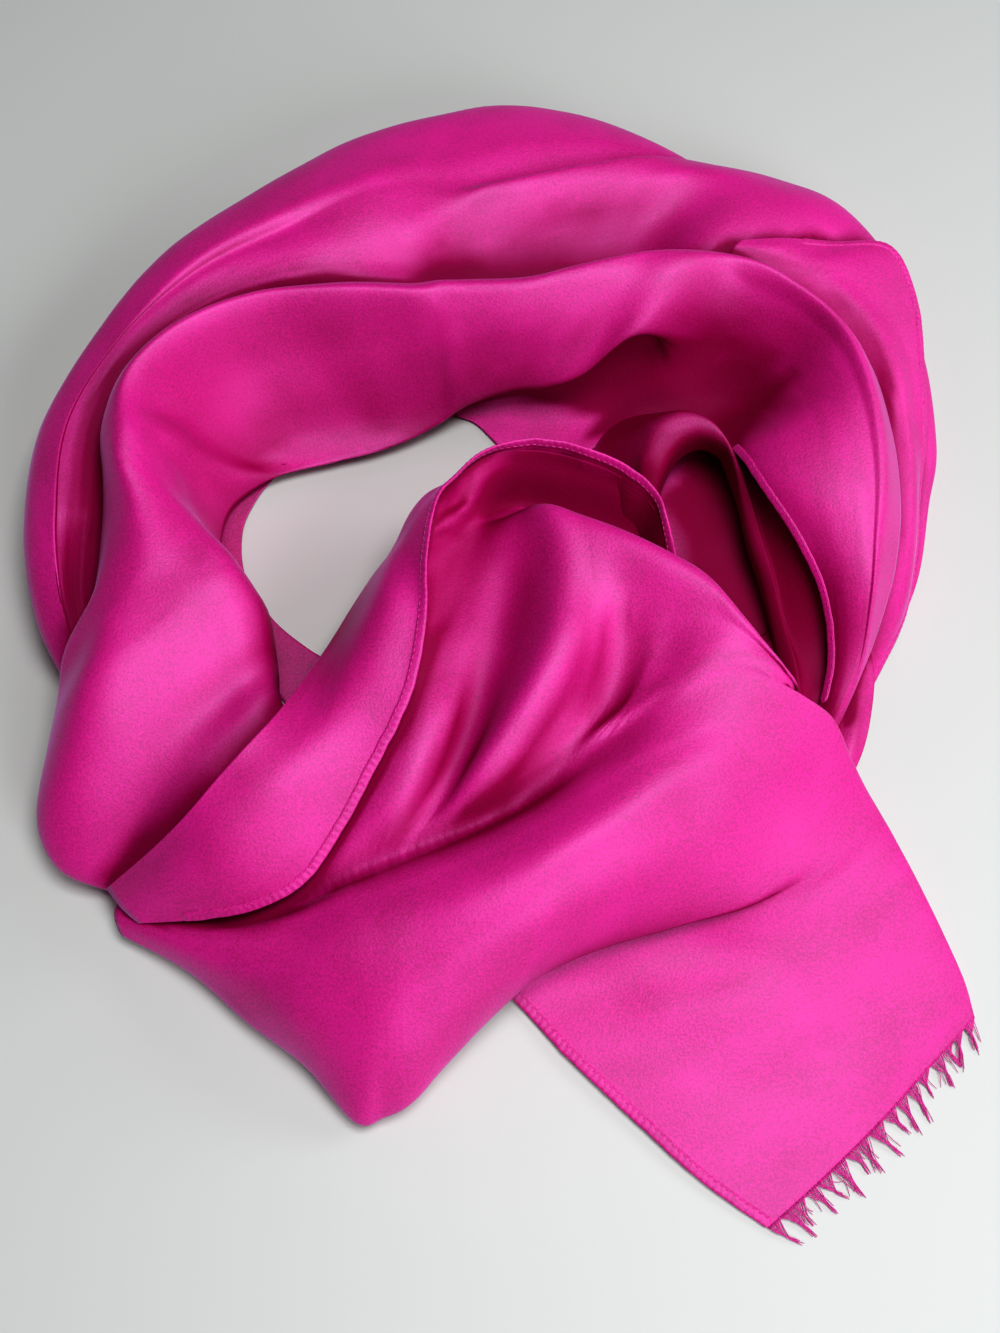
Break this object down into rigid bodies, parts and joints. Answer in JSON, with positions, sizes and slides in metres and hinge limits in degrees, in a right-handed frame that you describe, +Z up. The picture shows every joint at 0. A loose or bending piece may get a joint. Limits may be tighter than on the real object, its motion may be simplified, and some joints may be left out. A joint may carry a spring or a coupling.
{
  "type": "oblong scarf",
  "caption": "Oblong silk scarf wound loosely into a soft ring on a table, with pleated turns, a stitched hem and one fringed end lying out.",
  "frame": {"origin": "middle of the heap's footprint, on the table top", "axes": "+Z up from the table, +X to the right and +Y away from the viewer as it is pictured"},
  "size_m": [0.3306, 0.4268, 0.0628],
  "materials": {
    "silk": "soft silk with a fine crepe grain and a low sheen",
    "silk_in_shade": "the same silk where only its plies in shade are met"
  },
  "bodies": {
    "root": {"hidden_layers": "silk_in_shade", "outer_back": "silk", "upper_flap": "silk", "right_outer": "silk", "inner_collar": "silk", "right_inner": "silk", "left_drop": "silk", "lower_turn": "silk_in_shade", "inner_arch": "silk_in_shade", "small_tail": "silk", "cup_wall": "silk", "front_wrap": "silk", "front_roll": "silk", "fringed_end": "silk", "fringe": "silk"}
  },
  "joints": []
}
